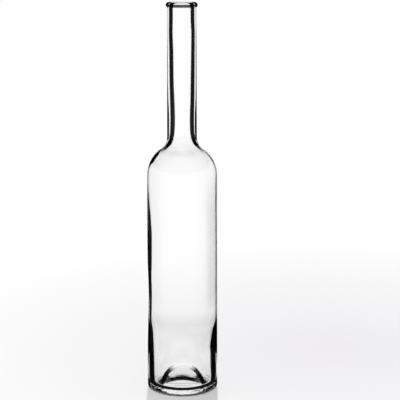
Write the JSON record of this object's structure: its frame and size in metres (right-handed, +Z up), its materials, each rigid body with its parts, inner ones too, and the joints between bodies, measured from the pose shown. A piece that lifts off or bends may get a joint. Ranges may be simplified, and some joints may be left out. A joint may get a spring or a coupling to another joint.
{
  "type": "glass bottle",
  "caption": "Tall, slim, clear glass bottle with a long straight neck, a rounded ring at its open cork mouth, a round shoulder and a domed push-up in its base.",
  "frame": {"origin": "on the bottle's axis, in the plane of its standing ring", "axes": "+Z up along the axis, out of the mouth; the shape is the same all round the axis, so +X and +Y are free"},
  "size_m": [0.0622, 0.0622, 0.342],
  "materials": {
    "clear_glass": "clear, colourless, fire-polished"
  },
  "bodies": {
    "root": {"glass_bottle": "clear_glass"}
  },
  "joints": []
}
